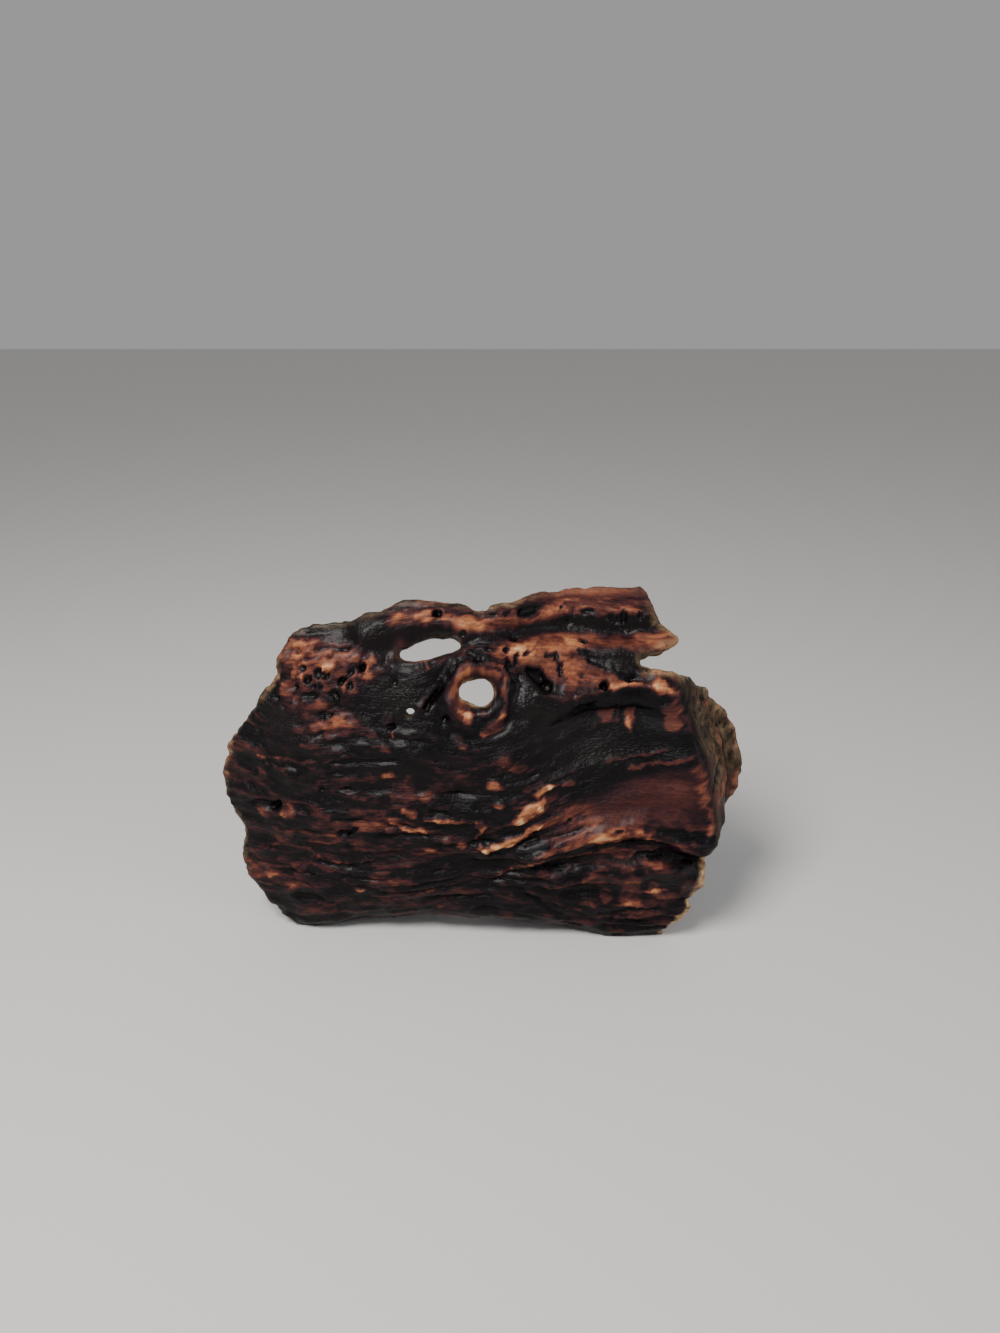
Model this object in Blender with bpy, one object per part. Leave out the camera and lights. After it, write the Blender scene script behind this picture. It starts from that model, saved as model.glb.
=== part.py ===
"""Driftwood hide: one curved, hollow-backed slab of a water-worn log, standing on its lower edge.

The wall is cut as a flat blank, in millimetres along the grain (u) and up the wall (v), and is then bent:
the foot turns back into a sole, the left end rolls back, the right end folds back at a sharp ridge, and the top
leans away. The open hollow is behind. +X runs along the grain, +Y points to the back, +Z is up, and the origin is
under the middle of the object's box.
"""

import bpy
import numpy as np
from mathutils import Vector

MM = 0.001

# Driving dimensions, in millimetres
WALL = 11.0
RIM_ROUND = 2.4
RIM_INSET = 3.6
MESH_SIZE = 5.0
SLOPE_STEP = 0.6
ORIGIN_X = -1.9
ORIGIN_Y = -1.9

# The section of the wall, from the table up
BELLY_Y = -26.5
BELLY_HEIGHT = 58.0
BEND_ABOVE_BELLY = 420.0
BEND_BELOW_BELLY = 1500.0
SOLE_CORNER = 7.0
WORN_OFF = 4.6

# How much the wall's thickness varies, and how much thinner it is at the top, as shares of it
UNEVENNESS = 0.22
TOP_THINNING = 0.12
TOP_THINNING_UP = (120.0, 180.0)

# Lesser bends of the wall, in millimetres, each with where it starts and where it is full, along the wall and up it
ARCH_PLACES = (-100.0, -76.0, -49.0, -20.0, 4.0, 24.0, 37.0, 50.0, 68.0)
ARCH_HEIGHTS = (0.0, 6.0, 9.2, 12.0, 13.2, 10.2, 7.2, 4.2, 0.0)
ARCH_UP = (70.0, 0.0)
LEFT_TOE = 3.0
LEFT_TOE_ALONG = (-55.0, -95.0)
LEFT_TOE_UP = (50.0, 0.0)
RIGHT_TOE = 2.5
RIGHT_TOE_ALONG = (-30.0, 50.0)
RIGHT_TOE_UP = (110.0, 50.0)
SLAB_LEAN = 19.0
SLAB_LEAN_ALONG = (0.0, 45.0)
SLAB_LEAN_UP = (132.0, 180.0)
WAVE = 1.6
WAVE_LENGTH = 46.0
WAVE_WIDTH = 30.0

# The rolled left end and the folded right end
ROLL_START = -98.0
ROLL_ANGLE = np.radians(32.0)
ROLL_SOFTNESS = 32.0
FOLD_ANGLE = np.radians(57.0)
FOLD_SOFTNESS = 4.0
FOLD_HEIGHTS = (0.0, 20.0, 45.0, 60.0, 100.0, 130.0, 148.0, 200.0)
FOLD_PLACES = (100.0, 108.0, 116.0, 118.0, 113.0, 103.0, 94.0, 94.0)

# The scooped flank under the right half's ledge
LEDGE_PLACES = (20.0, 36.0, 52.0, 66.0, 90.0, 110.0)
LEDGE_HEIGHTS = (128.0, 136.0, 140.0, 142.5, 143.5, 141.0)
SCOOP_DEPTH = 8.0
SCOOP_ALONG = (14.0, 58.0)
SCOOP_UP = (60.0, 122.0)
SCOOP_TOP_EDGE = 8.0
SCOOP_FOLD_EDGE = 24.0

# The blank's outline, clockwise from the left foot, and its two holes, anticlockwise, as (u, v)
OUTLINE = (
    (-108, 3), (-118, 11), (-127, 21), (-135, 31), (-140, 43), (-139, 54), (-136, 62), (-141, 68),
    (-146, 75), (-149, 87), (-147, 100), (-143, 110), (-135, 120), (-126, 131), (-118, 141), (-112, 149),
    (-110, 157), (-103, 167), (-94, 173), (-83, 175), (-72, 176), (-60, 180), (-50, 183), (-39, 186),
    (-24, 186), (-13, 185), (-1, 182), (4, 185), (14, 185), (19, 186), (28, 187), (33, 186), (44, 187),
    (62, 188), (78, 188), (85, 187), (88, 180), (91, 172), (98, 168), (105, 162), (103, 158), (94, 157),
    (80, 154), (92, 152), (104, 148), (117, 142), (129, 135), (140, 125), (147, 112), (150, 98),
    (150, 86), (143, 77), (131, 69), (119, 61), (117, 49), (112, 31), (107, 18), (99, 6), (101, -10),
    (98, -29), (82, -39), (60, -40), (42, -33), (22, -24), (-2, -19), (-28, -18), (-50, -24), (-68, -33),
    (-86, -37), (-100, -32), (-108, -18),
)
SLOT = ((-44, 160), (-37, 158), (-29, 158), (-20, 160), (-13, 164), (-12, 167), (-22, 169), (-33, 168), (-41, 165))
KNOT_HOLE = ((-12, 141), (-7, 137), (-1, 136), (3, 139), (3, 145), (0, 149), (-6, 149), (-11, 146))
KNOT_MIDDLE = (-4.5, 142.5)
PINHOLE = (-39.0, 134.0)
PINHOLE_ACROSS = 3.6
BORE_HOLE = (61.0, 144.0)
BORE_ACROSS = 4.4
BORE_DEPTH = 5.0

# Raised and sunk lines on the front: points (u, v), half width, and height, which is negative for a groove
RIDGES = (
    (((-62, 170), (-46, 176), (-28, 177), (-8, 173), (4, 168)), 8.0, 4.0),
    (((6, 179), (30, 176), (62, 175), (88, 174)), 5.0, 3.0),
    (((-4, 174), (16, 169), (44, 166), (88, 165)), 5.0, -3.0),
    (((14, 160), (50, 158), (84, 160), (100, 160)), 7.0, 2.5),
    (((22, 58), (40, 66), (62, 73), (84, 76), (112, 66)), 6.0, 4.0),
    (((34, 50), (60, 60), (86, 64), (112, 55)), 5.0, -3.0),
    (((36, 40), (62, 48), (90, 51), (112, 44)), 5.0, 3.0),
    (((-140, 96), (-100, 92), (-50, 98), (0, 92)), 7.0, -2.2),
    (((-120, 60), (-80, 52), (-40, 58), (10, 44)), 8.0, -2.0),
    (((-110, 116), (-70, 118), (-30, 113), (20, 112)), 8.0, 2.2),
    (((128, 128), (136, 108), (140, 88), (136, 68)), 6.0, -3.5),
    (((142, 122), (150, 104), (151, 86), (146, 72)), 5.0, 2.5),
)
COLLAR_RADIUS = 14.0
COLLAR_HALF_WIDTH = 5.0
COLLAR_HEIGHT = 4.5
FADE = 1.6

# Worn waves of the two faces: height, length along the grain, width across it, and the noise's seed
FRONT_WAVES = ((1.1, 26.0, 12.0, 11), (0.6, 13.0, 6.5, 12))
HOLLOW_WAVES = ((1.5, 34.0, 13.0, 21), (0.8, 15.0, 8.0, 22))


def ease(t):
    """A smooth step from 0 to 1."""
    t = np.clip(t, 0.0, 1.0)
    return t * t * (3.0 - 2.0 * t)


def ramp(t, start, end):
    """A smooth step from 0 at start to 1 at end, which may be the lower of the two."""
    return ease((t - start) / (end - start))


def hinge(t, softness):
    """Zero before the hinge line and t after it, with a soft corner."""
    return 0.5 * (t + np.sqrt(t * t + softness * softness))


def lattice(i, j, seed):
    """A fixed pseudo-random value from -1 to 1 for each whole-numbered point."""
    h = (i * 374761393 + j * 668265263 + seed * 362437) & 0xFFFFFFFF
    h = ((h ^ (h >> 13)) * 1274126177) & 0xFFFFFFFF
    return ((h ^ (h >> 16)) & 0xFFFF) / 32767.5 - 1.0


def noise(u, v, seed):
    """Smooth noise from -1 to 1, with one bump for each unit."""
    i = np.floor(u).astype(np.int64)
    j = np.floor(v).astype(np.int64)
    a = ease(u - i)
    b = ease(v - j)
    low = lattice(i, j, seed) * (1 - a) + lattice(i + 1, j, seed) * a
    high = lattice(i, j + 1, seed) * (1 - a) + lattice(i + 1, j + 1, seed) * a
    return low * (1 - b) + high * b


def distance_to_line(u, v, points):
    """Distance from each (u, v) to a line of points."""
    nearest = np.full(np.shape(u), 1e9)
    for (u0, v0), (u1, v1) in zip(points, points[1:]):
        du = u1 - u0
        dv = v1 - v0
        t = np.clip(((u - u0) * du + (v - v0) * dv) / (du * du + dv * dv), 0.0, 1.0)
        nearest = np.minimum(nearest, np.hypot(u - u0 - t * du, v - v0 - t * dv))
    return nearest


def fold_line(v):
    """Where along the grain the right end folds back, at each height."""
    return np.interp(v, FOLD_HEIGHTS, FOLD_PLACES)


def scoop(u, v):
    """How far the flank sinks back, deepest just under the ledge and fading to the fold and to the foot."""
    ledge = np.interp(u, LEDGE_PLACES, LEDGE_HEIGHTS)
    under_ledge = ease((ledge - v) / SCOOP_TOP_EDGE)
    across = ramp(u, *SCOOP_ALONG) * ease((fold_line(v) - u) / SCOOP_FOLD_EDGE)
    return SCOOP_DEPTH * under_ledge * ramp(v, *SCOOP_UP) * across


def wall_middle(u, v):
    """The bent wall's middle surface, as (x, y, z) in millimetres."""
    above_sole = v - WALL / 2
    z = WALL / 2 - WORN_OFF + hinge(above_sole, SOLE_CORNER)
    above_belly = np.clip(z - BELLY_HEIGHT, 0.0, None)
    below_belly = np.clip(BELLY_HEIGHT - z, 0.0, None)
    y = BELLY_Y + above_belly**2 / BEND_ABOVE_BELLY + below_belly**2 / BEND_BELOW_BELLY
    y = y + hinge(-above_sole, SOLE_CORNER)
    y = y - RIGHT_TOE * ramp(u, *RIGHT_TOE_ALONG) * ramp(z, *RIGHT_TOE_UP)
    y = y - LEFT_TOE * ramp(u, *LEFT_TOE_ALONG) * ramp(z, *LEFT_TOE_UP)
    y = y + SLAB_LEAN * ramp(u, *SLAB_LEAN_ALONG) * ramp(z, *SLAB_LEAN_UP)
    y = y + scoop(u, v) + WAVE * noise(u / WAVE_LENGTH, v / WAVE_WIDTH, 3)
    z = z + np.interp(u, ARCH_PLACES, ARCH_HEIGHTS) * ramp(z, *ARCH_UP)
    rolled = hinge(ROLL_START - u, ROLL_SOFTNESS)
    folded = hinge(u - fold_line(v), FOLD_SOFTNESS)
    x = u + rolled * (1.0 - np.cos(ROLL_ANGLE)) - folded * (1.0 - np.cos(FOLD_ANGLE))
    y = y + rolled * np.sin(ROLL_ANGLE) + folded * np.sin(FOLD_ANGLE)
    return np.stack([x, y, z], axis=-1)


def wall_normal(u, v):
    """The unit normal of the middle surface, which points to the front."""
    along = wall_middle(u + SLOPE_STEP, v) - wall_middle(u - SLOPE_STEP, v)
    up = wall_middle(u, v + SLOPE_STEP) - wall_middle(u, v - SLOPE_STEP)
    normal = np.cross(along, up)
    return normal / np.linalg.norm(normal, axis=-1, keepdims=True)


def waves(u, v, sizes):
    """The sum of worn waves of several sizes."""
    return sum(height * noise(u / along, v / up, seed) for height, along, up, seed in sizes)


def front_relief(u, v):
    """Height of the front face's own forms: the knot's collar, ridges, grooves and worn waves."""
    height = waves(u, v, FRONT_WAVES)
    for points, half_width, rise in RIDGES:
        height = height + rise * ease(1.0 - distance_to_line(u, v, points) / (FADE * half_width))
    from_knot = np.hypot(u - KNOT_MIDDLE[0], v - KNOT_MIDDLE[1])
    collar = ease(1.0 - np.abs(from_knot - COLLAR_RADIUS) / (FADE * COLLAR_HALF_WIDTH))
    return height + COLLAR_HEIGHT * collar


def back_relief(u, v):
    """Height of the hollow's long worn waves."""
    return waves(u, v, HOLLOW_WAVES)


def bend(u, v, w):
    """Where a point of the flat blank goes: w is its height above the blank's middle, to the front."""
    front = np.clip(w / WALL + 0.5, 0.0, 1.0)
    thickness = 1.0 + UNEVENNESS * noise(u / 60.0, v / 45.0, 31) - TOP_THINNING * ramp(v, *TOP_THINNING_UP)
    height = w * thickness + front * front_relief(u, v) - (1.0 - front) * back_relief(u, v)
    return wall_middle(u, v) + wall_normal(u, v) * height[..., None]


def flat_blank():
    """The flat slab with its outline, slot and knot hole, as an even mesh in millimetres."""
    curve = bpy.data.curves.new("blank", "CURVE")
    curve.dimensions = "2D"
    curve.fill_mode = "BOTH"
    curve.extrude = WALL / 2 - RIM_ROUND
    curve.bevel_depth = RIM_ROUND
    curve.bevel_resolution = 2
    curve.offset = -RIM_INSET
    curve.resolution_u = 3
    for points in (OUTLINE, SLOT, KNOT_HOLE):
        spline = curve.splines.new("BEZIER")
        spline.bezier_points.add(len(points) - 1)
        for place, (u, v) in zip(spline.bezier_points, points):
            place.co = (u, v, 0.0)
            place.handle_left_type = "AUTO"
            place.handle_right_type = "AUTO"
        spline.use_cyclic_u = True
    slab = bpy.data.objects.new("blank", curve)
    bpy.context.collection.objects.link(slab)
    bpy.context.view_layer.update()
    solid = bpy.data.meshes.new_from_object(slab.evaluated_get(bpy.context.evaluated_depsgraph_get()))
    bpy.data.objects.remove(slab)
    return remeshed(solid, MESH_SIZE)


def remeshed(mesh, size):
    """The mesh rebuilt from even faces of this size."""
    helper = bpy.data.objects.new("helper", mesh)
    bpy.context.collection.objects.link(helper)
    remesh = helper.modifiers.new("even", "REMESH")
    remesh.mode = "VOXEL"
    remesh.voxel_size = size
    bpy.context.view_layer.update()
    even = bpy.data.meshes.new_from_object(helper.evaluated_get(bpy.context.evaluated_depsgraph_get()))
    bpy.data.objects.remove(helper)
    return even


def vertex_array(mesh):
    places = np.empty(len(mesh.vertices) * 3)
    mesh.vertices.foreach_get("co", places)
    return places.reshape(-1, 3)


def hole_cutter(name, place, across, front_end, back_end):
    """A round cutter square to the wall at a place on it, from one height above its middle to another."""
    u = np.array([place[0]])
    v = np.array([place[1]])
    middle = Vector(wall_middle(u, v)[0] - [ORIGIN_X, ORIGIN_Y, 0.0])
    normal = Vector(wall_normal(u, v)[0])
    bpy.ops.mesh.primitive_cylinder_add(vertices=10, radius=across / 2 * MM, depth=(front_end - back_end) * MM)
    cutter = bpy.context.active_object
    cutter.name = name
    cutter.location = (middle + normal * (front_end + back_end) / 2) * MM
    cutter.rotation_mode = "QUATERNION"
    cutter.rotation_quaternion = normal.to_track_quat("Z", "Y")
    cutter.hide_render = True
    cutter.display_type = "WIRE"
    return cutter


def cut(piece, cutter):
    boolean = piece.modifiers.new(cutter.name, "BOOLEAN")
    boolean.operation = "DIFFERENCE"
    boolean.solver = "EXACT"
    boolean.object = cutter


def wood():
    """Dark, oiled driftwood."""
    material = bpy.data.materials.new("driftwood")
    material.use_nodes = True
    shader = material.node_tree.nodes["Principled BSDF"]
    shader.inputs["Base Color"].default_value = (0.045, 0.017, 0.010, 1.0)
    shader.inputs["Roughness"].default_value = 0.35
    shader.inputs["Metallic"].default_value = 0.0
    return material


def driftwood():
    mesh = flat_blank()
    u, v, w = vertex_array(mesh).T
    places = bend(u, v, w) - [ORIGIN_X, ORIGIN_Y, 0.0]
    # The wood is worn flat where it stands on the table.
    places[:, 2] = np.maximum(places[:, 2], 0.0)
    mesh.vertices.foreach_set("co", (places * MM).ravel())
    mesh.update()
    mesh.name = "driftwood"
    mesh.shade_smooth()
    mesh.materials.clear()
    mesh.materials.append(wood())
    piece = bpy.data.objects.new("driftwood", mesh)
    bpy.context.collection.objects.link(piece)
    return piece


def main():
    for thing in list(bpy.data.objects):
        bpy.data.objects.remove(thing)
    piece = driftwood()
    cut(piece, hole_cutter("pinhole", PINHOLE, PINHOLE_ACROSS, WALL, -WALL))
    cut(piece, hole_cutter("bore_hole", BORE_HOLE, BORE_ACROSS, WALL, WALL / 2 - BORE_DEPTH))


main()
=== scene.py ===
"""Driftwood hide: the finished surface of one curved, hollow-backed slab of a water-worn log.

The wall is cut as a flat blank, in millimetres along the grain (u) and up the wall (v), and bent, in the same
way as the frame's own solid but with a much finer mesh. The notch, slot, knot hole and pinhole are drawn a
little differently from the solid's. The blank's front carries the wood's fine relief: grain that parts round
the knot, insect bores, cracks, worn ridges and broken rims.
"""

import bpy
import numpy as np
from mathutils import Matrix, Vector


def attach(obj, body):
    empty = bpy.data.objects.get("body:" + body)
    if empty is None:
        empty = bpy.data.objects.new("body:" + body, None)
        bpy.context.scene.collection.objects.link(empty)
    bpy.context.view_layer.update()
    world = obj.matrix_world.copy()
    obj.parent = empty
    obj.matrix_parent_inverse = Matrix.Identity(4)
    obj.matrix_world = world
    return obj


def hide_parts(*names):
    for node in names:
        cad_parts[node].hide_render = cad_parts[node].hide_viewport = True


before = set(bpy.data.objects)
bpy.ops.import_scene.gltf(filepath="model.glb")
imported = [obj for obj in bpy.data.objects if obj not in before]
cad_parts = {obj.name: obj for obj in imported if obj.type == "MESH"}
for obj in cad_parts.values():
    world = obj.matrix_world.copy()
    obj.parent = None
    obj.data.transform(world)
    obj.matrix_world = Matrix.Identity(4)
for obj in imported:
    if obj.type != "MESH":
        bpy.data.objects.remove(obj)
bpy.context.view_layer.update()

MM = 0.001

# The blank and how it is bent, in millimetres
WALL = 11.0
RIM_ROUND = 1.4
RIM_INSET = 2.6
MESH_SIZE = 1.11
SLOPE_STEP = 0.6
ORIGIN_X = -1.9
ORIGIN_Y = -1.9
BELLY_Y = -26.5
BELLY_HEIGHT = 58.0
BEND_ABOVE_BELLY = 420.0
BEND_BELOW_BELLY = 1500.0
SOLE_CORNER = 7.0
WORN_OFF = 4.6
TOP_THINNING = 0.12
TOP_THINNING_UP = (120.0, 180.0)

# Lesser bends of the wall, in millimetres, each with where it starts and where it is full, along and up
ARCH_PLACES = (-100.0, -76.0, -49.0, -20.0, 4.0, 24.0, 37.0, 50.0, 68.0)
ARCH_HEIGHTS = (0.0, 6.0, 9.2, 12.0, 13.2, 10.2, 7.2, 4.2, 0.0)
ARCH_UP = (70.0, 0.0)
LEFT_TOE = 3.0
LEFT_TOE_ALONG = (-55.0, -95.0)
LEFT_TOE_UP = (50.0, 0.0)
RIGHT_TOE = 2.5
RIGHT_TOE_ALONG = (-30.0, 50.0)
RIGHT_TOE_UP = (110.0, 50.0)
SLAB_LEAN = 19.0
SLAB_LEAN_ALONG = (0.0, 45.0)
SLAB_LEAN_UP = (132.0, 180.0)
WAVE = 1.6
WAVE_LENGTH = 46.0
WAVE_WIDTH = 30.0
ROLL_START = -98.0
ROLL_ANGLE = np.radians(32.0)
ROLL_SOFTNESS = 32.0
FOLD_ANGLE = np.radians(57.0)
FOLD_SOFTNESS = 4.0
FOLD_HEIGHTS = (0.0, 20.0, 45.0, 60.0, 100.0, 130.0, 148.0, 200.0)
FOLD_PLACES = (100.0, 108.0, 116.0, 118.0, 113.0, 103.0, 94.0, 94.0)
LEDGE_PLACES = (20.0, 36.0, 52.0, 66.0, 90.0, 110.0)
LEDGE_HEIGHTS = (128.0, 136.0, 140.0, 142.5, 143.5, 141.0)
SCOOP_DEPTH = 8.0
SCOOP_ALONG = (14.0, 58.0)
SCOOP_UP = (60.0, 122.0)
SCOOP_TOP_EDGE = 8.0
SCOOP_FOLD_EDGE = 24.0

# The tint of the hollow's wood, from 0 for black to 1 for pale orange
HOLLOW_TINT = 0.36

# How the grain sweeps up to the right, in millimetres, and where
SWEEP = 15.0
SWEEP_ALONG = (4.0, 66.0)
SWEEP_FOOT = (26.0, 56.0)
SWEEP_HEAD = (142.0, 112.0)

# The blank's outline, clockwise from the left foot, and its holes, anticlockwise, as (u, v)
OUTLINE = (
    (-108, 3), (-118, 11), (-127, 21), (-135, 31), (-140, 43), (-139, 54), (-136, 62), (-141, 68),
    (-146, 75), (-149, 87), (-147, 100), (-143, 110), (-135, 120), (-126, 131), (-118, 141), (-112, 149),
    (-110, 157), (-103, 167), (-94, 173), (-83, 175), (-72, 176), (-60, 180), (-50, 183), (-39, 186),
    (-24, 186), (-13, 185), (-1, 182), (4, 185), (14, 185), (19, 186), (28, 187), (33, 186), (44, 187),
    (62, 188), (78, 188), (85, 187), (88, 180), (91, 172), (96, 168), (101, 163), (101, 160), (99, 158.5),
    (92, 157.5), (85, 156), (81, 154.5), (84, 153.4), (92, 152.4), (104, 148), (117, 142), (129, 135),
    (140, 125), (147, 112), (150, 98), (150, 86), (143, 77), (131, 69), (119, 61), (117, 49), (112, 31),
    (107, 18), (99, 6), (101, -10), (98, -29), (82, -39), (60, -40), (42, -33), (22, -24), (-2, -19),
    (-28, -18), (-50, -24), (-68, -33), (-86, -37), (-100, -32), (-108, -18),
)
SLOT = (
    (-43, 160), (-36, 159), (-29, 159.4), (-20, 162), (-13.5, 165.3), (-14, 166.6), (-22, 167),
    (-33, 165.8), (-39, 163.4),
)
KNOT_HOLE = (
    (-12.5, 141.5), (-8, 138.4), (-1, 137.2), (4, 139.8), (4.3, 144.5), (1, 147.4), (-5.5, 147.6),
    (-11, 145.4),
)
KNOT_MIDDLE = (-4.5, 142.5)
SLOT_MIDDLE = (-29.0, 163.0)
PINHOLE = (-39.0, 134.0)
PINHOLE_ACROSS = 3.8

# Where the grain parts: the middle of each oval, its half length and its half width
PARTINGS = ((KNOT_MIDDLE, 15.0, 14.0), (SLOT_MIDDLE, 24.0, 7.0))

# Rings round the knot's middle: (radius, 0, half width, 1)
INNER_RING = (9.0, 0.0, 2.6, 1.0)
DARK_RING = (20.0, 0.0, 4.0, 1.0)
SUNK_RING = (21.5, 0.0, 2.6, 1.0)

# Raised and sunk lines that the frame's solid has too: points (u, v), half width, and height
RIDGES = (
    (((-62, 170), (-46, 176), (-28, 177), (-8, 173), (4, 168)), 8.0, 4.0),
    (((6, 179), (30, 176), (62, 175), (88, 174)), 5.0, 3.0),
    (((-4, 174), (16, 169), (44, 166), (88, 165)), 5.0, -3.0),
    (((14, 160), (50, 158), (84, 160), (100, 160)), 7.0, 2.5),
    (((22, 58), (40, 66), (62, 73), (84, 76), (112, 66)), 6.0, 4.0),
    (((34, 50), (60, 60), (86, 64), (112, 55)), 5.0, -3.0),
    (((36, 40), (62, 48), (90, 51), (112, 44)), 5.0, 3.0),
    (((-140, 96), (-100, 92), (-50, 98), (0, 92)), 7.0, -2.2),
    (((-120, 60), (-80, 52), (-40, 58), (10, 44)), 8.0, -2.0),
    (((-110, 116), (-70, 118), (-30, 113), (20, 112)), 8.0, 2.2),
    (((128, 128), (136, 108), (140, 88), (136, 68)), 6.0, -3.5),
    (((142, 122), (150, 104), (151, 86), (146, 72)), 5.0, 2.5),
)
COLLAR_RADIUS = 14.0
COLLAR_HALF_WIDTH = 5.0
COLLAR_HEIGHT = 4.5
FADE = 1.6

# Layers of noise, each as (amount, length of one bump, its width, seed), with the sizes in millimetres
GRAIN_WANDER = ((3.0, 55.0, 40.0, 5), (1.0, 21.0, 14.0, 6))
SWELLS = ((1.1, 26.0, 12.0, 11), (0.6, 13.0, 6.5, 12))
COLLAR_LUMPS = ((0.35, 8.0, 8.0, 13),)
COLLAR_WANDER = ((1.6, 7.0, 7.0, 14),)
HOLLOW_WAVES = ((1.5, 34.0, 13.0, 21), (0.8, 15.0, 8.0, 22))
HOLLOW_WANDER = ((2.0, 40.0, 30.0, 23),)
HOLLOW_FIBRES = ((0.5, 34.0, 3.2, 24),)
HOLLOW_TEARS = ((1.0, 26.0, 5.0, 25),)
HOLLOW_GROOVES = ((1.0, 30.0, 3.6, 26),)
UNEVENNESS = ((0.22, 60.0, 45.0, 31),)
FIBRES = ((0.30, 26.0, 2.5, 51),)
TEARS = ((1.0, 16.0, 4.6, 53),)
SMOOTH_WAVES = ((0.30, 60.0, 7.0, 54),)
CRACKS = ((1.0, 24.0, 2.9, 55),)
BORED_LUMPS = ((0.9, 7.0, 4.5, 56),)
WORM_HOLES = ((1.0, 4.2, 3.2, 57),)
RAGGED_U = ((1.5, 4.4, 3.2, 58), (0.8, 2.1, 1.7, 59))
RAGGED_V = ((1.1, 4.8, 3.0, 60), (0.6, 2.2, 1.6, 61))
PLEAT_WANDER = ((3.0, 24.0, 70.0, 62),)
PLEATS = ((1.0, 7.5, 60.0, 63),)
TURNED_LUMPS = ((0.35, 8.0, 12.0, 64),)
TINT_DRIFT = ((0.03, 30.0, 18.0, 65),)
FLUTES = ((1.0, 44.0, 4.2, 66),)
COLLAR_STAINS = ((1.0, 6.0, 6.0, 67),)
LONG_PATCHES = ((1.0, 11.0, 3.6, 71), (0.6, 5.0, 2.0, 72))
WIDE_PATCHES = ((1.0, 7.5, 5.0, 73), (0.6, 3.6, 2.6, 74))

# The levels of noise above which cracks, worm holes and the hollow's grooves start
CRACK_LEVEL = 0.50
WORM_LEVEL = 0.50
GROOVE_LEVEL = 0.45

# Heights and depths of the fine relief, in millimetres
CRACK_DEPTH = 1.6
WORM_DEPTH = 1.8
WORN_HEIGHT = 0.45
MOAT_DEPTH = 0.9
PLEAT_HEIGHT = 1.2
FLUTE_HEIGHT = 1.1
GROOVE_DEPTH = 1.6

# Where the side of a pit, chip or stroke starts and ends, in half widths from its middle. The first three are
# for the relief and the others for the tint.
PIT_SIDE = (1.25, 0.65)
CHIP_SIDE = (1.2, 0.7)
STROKE_SIDE = (1.35, 0.35)
PIT_TINT_SIDE = (1.15, 0.75)
CHIP_TINT_SIDE = (1.15, 0.85)
STROKE_TINT_SIDE = (1.3, 0.6)

# How wide the worn rim is on the wall's thickness and on the front's broken edge, in millimetres
RIM_WIDTH = 1.6
RIM_ON_FRONT = (4.6, 2.0)

# Where the front is smooth, turned back, bored or fluted, and where painted shade darkens the flank under the
# ledge: where each starts, and where it is full
FLANK_ALONG = (40.0, 66.0)
FLANK_FOOT = (70.0, 84.0)
FLANK_HEAD = (142.0, 136.0)
SLAB_ALONG = (12.0, 24.0)
SLAB_UP = (179.0, 182.0)
TURNED_PAST_FOLD = (0.5, 5.0)
TURNED_UP = (40.0, 60.0)
BORED_LEFT_ALONG = (-36.0, -56.0)
BORED_LEFT_FOOT = (116.0, 132.0)
BORED_LEFT_HEAD = (170.0, 164.0)
BORED_STRIP_ALONG = (0.0, 10.0)
FLUTED_ALONG = (-16.0, 16.0)
FLUTED_HEAD = (76.0, 62.0)
LEDGE_SHADE_ALONG = (30.0, 46.0)
LEDGE_SHADE_HEAD = (126.0, 116.0)
LEDGE_SHADE_EDGE = (-3.0, 3.0)

# The levels of noise between which the dark skin is worn through
WORN_LEVELS = (0.06, 0.26)

# Bored areas by the knot and along the slab: (u, v, half length, half width)
BORED_BY_KNOT = (14.0, 157.0, 20.0, 13.0)
BORED_STRIP = (50.0, 174.0, 60.0, 4.0)

# How much each thing changes the tint
BODY_TINT = 0.215
WORN_TINT = 0.15
COLLAR_TINT = 0.10
MOAT_SHADE = 0.12
# Painted shade: how much the upper flank is darkened in the hollow under the ledge
PAINTED_LEDGE_SHADE = 0.16
PLEAT_TINT = 0.26
CHIP_TINT = 0.8
BORE_SHADE = 0.45
HEIGHT_TINT = 0.05
DRY_TINT = 0.18

# How dry the rims are, and how dry the turned-back end is where it is broken
RIM_DRYNESS = 0.15
TURNED_DRYNESS = 0.6

# How closely the bores keep to their ovals, from 0 for true ovals to 1 for as ragged as the chips
BORE_RAGGEDNESS = 0.35

# The photograph's view: the eye in metres, the degrees that it looks down, the focal length and the picture's
# height in pixels, and the sensor's height in millimetres
EYE = (0.0101, -0.4801, 0.344)
LOOKS_DOWN = 22.0
FOCAL_PIXELS = 1000.0
PHOTO_HEIGHT_PIXELS = 1333.0
SENSOR = 36.0

# The studio: the floor's width in metres and its roughness, how bright the surround is, and the lights. Each
# light is its name, its place and target in metres, its width in metres, its watts and its colour.
FLOOR_WIDTH = 8.0
FLOOR_ROUGHNESS = 0.6
SURROUND_STRENGTH = 0.45
LIGHTS = (
    ("key", (-0.35, -0.50, 0.95), (0.0, 0.0, 0.09), 0.45, 13.0, (1.0, 0.98, 0.95)),
    ("fill", (0.9, -0.5, 0.5), (0.0, 0.0, 0.08), 0.6, 2.5, (0.85, 0.9, 1.0)),
)

# The wood's colours, from black skin to bare pale wood, each as (level, sRGB hex code)
WOOD_COLOURS = (
    (0.08, "#050304"), (0.25, "#0e080b"), (0.36, "#291317"), (0.49, "#4d2722"), (0.63, "#7a4532"),
    (0.78, "#aa7049"), (0.96, "#dcb084"),
)

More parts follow.
